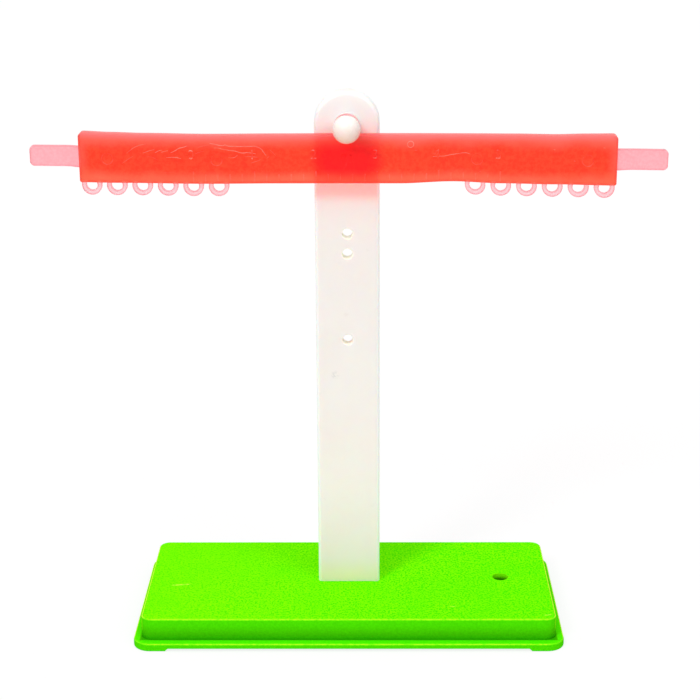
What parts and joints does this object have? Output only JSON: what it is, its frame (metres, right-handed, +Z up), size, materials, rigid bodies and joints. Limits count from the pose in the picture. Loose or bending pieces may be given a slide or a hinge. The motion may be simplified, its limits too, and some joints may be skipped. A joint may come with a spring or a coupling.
{
  "type": "lever balance demonstrator",
  "caption": "Classroom lever balance: flat plinth, upright with spare peg holes, and a beam with hanging rings and end tongues that swings on a ball-headed pin.",
  "frame": {"origin": "centre of the plinth's footprint, on the surface that its feet stand on", "axes": "+X along the beam to the right, +Y away from the beam's front, +Z up"},
  "size_m": [0.2648, 0.0888, 0.2356],
  "materials": {
    "plinth_green": "satin moulded",
    "upright_white": "satin moulded",
    "beam_red": "translucent moulded",
    "pin_white": "glossy moulded",
    "fitting_white": "satin moulded",
    "screw_steel": "plated"
  },
  "bodies": {
    "stand": {"base": "plinth_green", "column": "upright_white", "pivot_pin": "pin_white", "spacer_washer": "fitting_white", "pin_cap": "fitting_white", "base_screws": "screw_steel"},
    "beam": {"beam": "beam_red"}
  },
  "joints": [
    {"name": "beam_swing", "type": "hinge", "parent": "stand", "child": "beam", "pos_m": [0, -0.00817, 0.2219], "axis": [0, 1, 0], "continuous": true}
  ]
}
